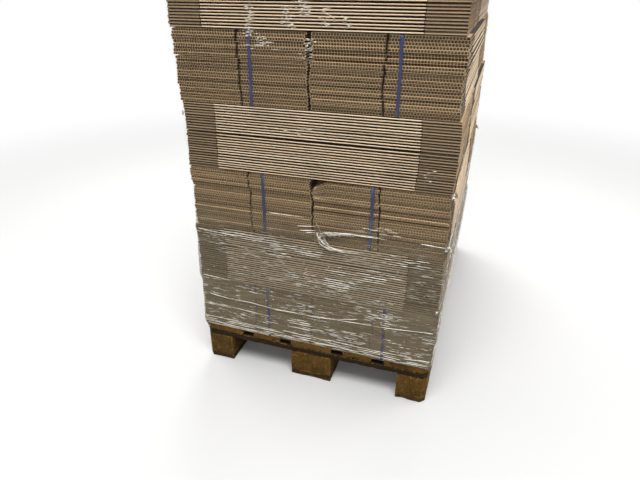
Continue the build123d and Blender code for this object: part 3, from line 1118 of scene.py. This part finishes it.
def add_rope(build, film, path, strands, turns, draw):
    """Cords of film that wind round one path: places round the load, heights, lifts, thicknesses."""
    share = np.linspace(0, 1, 5 * len(path))
    s, z, lift, thick = along_path(share, path)
    for strand in range(strands):
        twist = math.tau * (strand / strands + turns * share)
        angle = twist + np.cumsum(draw.normal(0, 0.3, len(share)))
        reach = thick * draw.uniform(0.25, 0.5)
        place = s + draw.normal(0, 0.8, len(s))
        cord = np.stack([place, z + reach * np.sin(angle), lift + 0.4 * reach * np.cos(angle)], -1)
        first = draw.integers(0, 4)
        last = len(cord) - draw.integers(0, len(cord) // 3)
        add_cord_of_film(build, film, cord[first:last], draw.uniform(1.6, 3.4), draw)


def crumpled_web(build, film, upper, lower, draw):
    """Loose film between two paths, pushed into small folds."""
    share = np.linspace(0, 1, 34)
    upper = np.array(along_path(share, upper))
    lower = np.array(along_path(share, lower))
    rows = []
    for part in np.linspace(0, 1, 14):
        s, z, lift, _ = part * upper + (1 - part) * lower
        fold = np.sin(share * 21 + part * 9 + 2 * np.sin(part * 7)) + draw.normal(0, 0.35, len(share))
        z = z + draw.normal(0, 0.5, len(share))
        rows.append(film.place(s + fold, z, lift + 1.6 * fold))
    build.grid(np.array(rows) * MM, "web")


def tie_knot(build, film, draw):
    """A crumpled lump of film with two ropes that part to the right, and webs along them."""
    for path, strands, turns in KNOT_ROPES:
        add_rope(build, film, path, strands, turns, draw)
    crumpled_web(build, film, KNOT_RIM, KNOT_LOWER[:6], draw)
    below = [(s, z - 0.8 * thick, lift - 2, thick) for s, z, lift, thick in KNOT_UPPER[:6]]
    crumpled_web(build, film, KNOT_UPPER[:6], below, draw)


def add_foot_band(build, film, draw):
    """Broken lines of roped film round the foot of the load, the wide ones on the sides and back."""
    for line in range(FOOT_LINES):
        start = FOOT_START + FOOT_SHIFT * line
        height = FOOT_LOW + FOOT_SPACING * line
        while start < FOOT_END:
            end = start + draw.uniform(60, 240) * (1 if start < FRONT_HALF else 2)
            heights = height + draw.normal(0, 1.6, 3)
            add_strand(build, film, start, end, heights, draw.uniform(1.4, 4.0), draw, 1.4)
            start = end + draw.uniform(-10, 26)


def film_gathers(film):
    """Creases and roped edges of the film, thick at the foot of the load and scattered above."""
    draw = np.random.default_rng(21)
    gather = loose_paint("gathered_film_and_glints", *ROPED_LOOK)
    build = Build({"gather": gather, "web": loose_paint("crumpled_film", *CRUMPLED_LOOK)})
    for start, end, heights, width in ROPED_EDGES:
        add_strand(build, film, start, end, heights, width, draw, 1.6)
    add_foot_band(build, film, draw)
    for _ in range(STREWN_CREASES):
        z = film.low[2] + abs(draw.normal(0, 1)) * 190 + 20
        s = draw.uniform(FRONT_HALF, AROUND - FRONT_HALF)
        add_crease(build, film, s, z, STREWN_LENGTH, draw)
    for _ in range(STREWN_SPECKS):
        s = draw.uniform(-400, 400)
        add_crease(build, film, s, draw.uniform(150, 540), SPECK_LENGTH, draw)
    # Clusters of bright creases: partly gathered film, partly painted glints over the cartons' edges
    for across, up, width, height, count, longest in SPARKLES:
        for _ in range(count):
            s = across + draw.normal(0, 0.6) * width
            add_crease(build, film, s, up + draw.uniform(-1, 1) * height, longest, draw)
    tie_knot(build, film, draw)
    for s, z, length, drop in TATTERS:
        add_tatter(build, film, s, z, length, drop, draw)
    return build.object("film_gathers", sharp=1.2)


def wrap_film(bundles):
    """The film's two pieces: the sleeve in place of the film's node, and its gathers."""
    film = Film(bundles)
    sleeve = stand_in_for(film_sleeve(film, film_paint()), "stretch_film", "stretch_film")
    gathers = film_gathers(film)
    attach(gathers, BODY)


# Floor, light and camera

WHITE = (1, 1, 1, 1)
LIT_FLOOR = (0.35, 0.35, 0.35, 1)  # what the floor throws back on the load
SHOWN_FLOOR = (0.78, 0.78, 0.77, 1)
FLOOR_FADE = (1.3, 4.2)  # metres from its middle between which the floor turns white
FLOOR_REACH = 40
ROOM_LIGHT = 0.34
# Each lamp's place, what it aims at, its two widths, and its power
LAMPS = {
    "front_lamp": ((0.5, -1.9, 3.4), (0, -0.3, 0.6), (2.2, 1.4), 100),
    "back_lamp": ((-0.5, 1.9, 3.2), (0, 0.3, 0.6), (2.2, 1.4), 70),
    "side_lamp": ((2.4, 0.6, 2.6), (0.3, 0, 0.6), (1.8, 1.4), 28),
    "far_side_lamp": ((-2.4, 0.2, 2.6), (-0.3, 0, 0.6), (1.8, 1.4), 28),
}
CAMERA_PLACE = (0.4724, -1.9167, 1.2518)
CAMERA_TURN = math.radians(18.44)
CAMERA_DOWN = math.radians(26.84)
CAMERA_ROLL = math.radians(0.20)
CAMERA_LENS = 28.79


def shown_rays(paint):
    """1 for what is seen straight, in a gloss or through film, and 0 for what only lights."""
    straight = paint.node("LightPath", output="Is Camera Ray")
    glossy = straight.output("Is Glossy Ray")
    return (straight + glossy + straight.output("Is Transmission Ray")).clamped()


def white_backdrop():
    """A world that lights softly and looks white."""
    paint = Paint("soft_room", world=True)
    bpy.context.scene.world = paint.material
    strength = shown_rays(paint) * (1 - ROOM_LIGHT) + ROOM_LIGHT
    paint.finish(paint.node("Background", {}, {"Color": WHITE, "Strength": strength}))


def pale_floor():
    """A floor that keeps the load's shadow and fades to white away from it."""
    paint = Paint("pale_floor")
    shown = shown_rays(paint)
    where = paint.node("TexCoord", output="Object")
    away = paint.node("VectorMath", {"operation": "LENGTH"}, (where,), output="Value")
    floor = paint.surface(Base_Color=paint.mix(shown, LIT_FLOOR, SHOWN_FLOOR), Roughness=0.9)
    glow = paint.node("Emission", {}, {"Color": WHITE, "Strength": shown})
    fade = away.between(*FLOOR_FADE) * 0.96 + 0.04
    build = Build({"floor": paint.finish(paint.node("MixShader", {}, (fade, floor, glow)))})
    corners = [(x * FLOOR_REACH, y * FLOOR_REACH, 0) for x, y in ((-1, -1), (1, -1), (1, 1), (-1, 1))]
    build.add(corners, [(0, 1, 2, 3)], "floor")
    ground = build.object("floor")
    ground.location.z = -0.5 * MM


def lamp(name, place, aim, size, power):
    data = bpy.data.lights.new(name, "AREA")
    data.shape = "RECTANGLE"
    data.size, data.size_y = size
    data.energy = power
    made = linked(name, data)
    made.location = place
    made.rotation_euler = (Vector(aim) - Vector(place)).to_track_quat("-Z", "Y").to_euler()


def camera():
    data = bpy.data.cameras.new("camera")
    data.lens = CAMERA_LENS
    data.sensor_width = 36.0
    made = linked("camera", data)
    level = Euler((math.pi / 2 - CAMERA_DOWN, 0.0, CAMERA_TURN)).to_matrix().to_4x4()
    roll = Matrix.Rotation(CAMERA_ROLL, 4, "Z")
    made.matrix_world = Matrix.Translation(CAMERA_PLACE) @ level @ roll
    bpy.context.scene.camera = made


def main():
    bpy.context.scene.view_settings.view_transform = "Standard"
    camera()
    white_backdrop()
    pale_floor()
    for name, (place, aim, size, power) in LAMPS.items():
        lamp(name, place, aim, size, power)
    finishes = {part: kraft_paint(*look) for part, look in KRAFTS.items()}
    bundles = [Bundle(node, number) for number, node in enumerate(named("_bundle"))]
    for bundle in bundles:
        carton_bundle(bundle, finishes)
    strap_finish = strap_paint()
    for number, node in enumerate(named("_strap")):
        strap_loop(node, number, strap_finish)
    timber_finish = timber_paint()
    timbers = sorted(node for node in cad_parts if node.startswith(tuple(PALENESS)))
    for number, node in enumerate(timbers):
        sawn_timber(node, number, timber_finish)
    wrap_film(bundles)


main()
